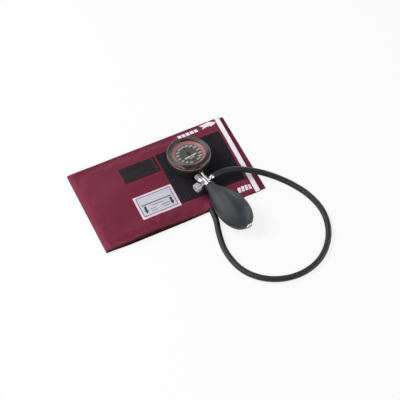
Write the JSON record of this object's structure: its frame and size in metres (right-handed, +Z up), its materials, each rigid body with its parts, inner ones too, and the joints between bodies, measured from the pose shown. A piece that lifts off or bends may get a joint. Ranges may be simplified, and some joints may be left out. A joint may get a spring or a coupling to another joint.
{
  "type": "palm aneroid sphygmomanometer",
  "caption": "Folded upper-arm pressure cuff with a tilting dial gauge on a chrome valve, a squeeze bulb and a hose that runs back to the cuff.",
  "frame": {"origin": "middle of the folded cuff's underside, on the table", "axes": "+X along the cuff from its fold to its free end, +Y across it away from the bulb, +Z up"},
  "size_m": [0.3232, 0.3036, 0.0496],
  "materials": {
    "cuff_cloth": "satin woven nylon",
    "cuff_lining": "matt woven nylon",
    "hook_tape": "rough hook tape",
    "loop_tape": "matt looped pile",
    "bladder_rubber": "matt",
    "label_cloth": "printed satin",
    "stripe_print": "printed",
    "bulb_rubber": "satin",
    "hose_rubber": "satin",
    "bright_chrome": "polished",
    "satin_metal": "satin",
    "case_black": "semi-gloss",
    "bezel_dark": "satin",
    "bumper_grey": "satin",
    "accent_red": "gloss",
    "clear_lens": "clear",
    "dial_face": "matt print",
    "pointer_paint": "matt",
    "movement_brass": "machined",
    "movement_steel": "machined",
    "seal_rubber": "matt"
  },
  "bodies": {
    "instrument": {"accent_ring": "accent_red", "air_screen": "movement_steel", "bladder": "bladder_rubber", "bladder_port": "bladder_rubber", "bulb": "bulb_rubber", "bulb_spigot": "bright_chrome", "bumper": "bumper_grey", "capsule": "movement_brass", "check_cage": "movement_brass", "cuff_lining": "cuff_lining", "cuff_outer_fabric": "cuff_cloth", "dial": "dial_face", "filter_cap": "bright_chrome", "gauge_case": "case_black", "gauge_stem": "bright_chrome", "gland_nut": "bright_chrome", "hairspring": "movement_steel", "hanger_patch": "loop_tape", "hook_panel": "hook_tape", "hose": "hose_rubber", "hose_nipple": "bright_chrome", "index_stripe": "stripe_print", "inlet_cage": "movement_brass", "inlet_valve_body": "bright_chrome", "label": "label_cloth", "lens": "clear_lens", "lens_gasket": "seal_rubber", "loop_field": "loop_tape", "movement_base": "movement_brass", "movement_bridge": "movement_brass", "movement_pillars": "movement_brass", "movement_posts": "movement_brass", "pressure_line": "movement_brass", "push_pin": "movement_steel", "red_ring": "accent_red", "top_ring": "bezel_dark", "valve_body": "bright_chrome"},
    "needle": {"release_needle": "movement_steel", "needle_oring": "seal_rubber"},
    "knob": {"release_knob": "satin_metal"},
    "pointer": {"pointer": "pointer_paint", "pointer_staff": "movement_steel"},
    "sector": {"sector_gear": "movement_brass"},
    "rocker": {"rocking_shaft": "movement_steel"},
    "check_disc": {"check_disc": "seal_rubber"},
    "inlet_disc": {"inlet_disc": "seal_rubber"}
  },
  "joints": [
    {"name": "needle_travel", "type": "slide", "parent": "instrument", "child": "needle", "axis": [-0.9588, -0.284, 0], "range_m": [0, 0.00075]},
    {"name": "knob_turn", "type": "hinge", "parent": "needle", "child": "knob", "pos_m": [0.0356, -0.0421, 0.02875], "axis": [-0.9588, -0.284, 0], "range_deg": [0, 540]},
    {"name": "pointer_sweep", "type": "hinge", "parent": "instrument", "child": "pointer", "pos_m": [0.0464, 0.0104, 0.04169], "axis": [-0.0738, -0.1572, -0.9848], "range_deg": [0, 337.5], "stiffness_Nm_per_rad": 0.00002, "springref_deg": -20.05},
    {"name": "sector_swing", "type": "hinge", "parent": "instrument", "child": "sector", "pos_m": [0.06103, 0.02183, 0.03877], "axis": [0.0738, 0.1572, 0.9848], "range_deg": [0, 40.23]},
    {"name": "rocker_swing", "type": "hinge", "parent": "instrument", "child": "rocker", "pos_m": [0.04413, 0.01264, 0.02475], "axis": [-0.9748, -0.1971, 0.1045], "range_deg": [0, 13.95]},
    {"name": "check_disc_lift", "type": "slide", "parent": "instrument", "child": "check_disc", "axis": [-0.2829, 0.9552, 0.0872], "range_m": [0, 0.0008]},
    {"name": "inlet_disc_lift", "type": "slide", "parent": "instrument", "child": "inlet_disc", "axis": [-0.2829, 0.9552, 0.0872], "range_m": [0, 0.0008]}
  ],
  "couplings": [
    {"joint": "needle_travel", "follows": "knob_turn", "m_per_rad": 0.000079577},
    {"joint": "sector_swing", "follows": "pointer_sweep", "ratio": 0.11905},
    {"joint": "rocker_swing", "follows": "pointer_sweep", "ratio": 0.041185}
  ]
}
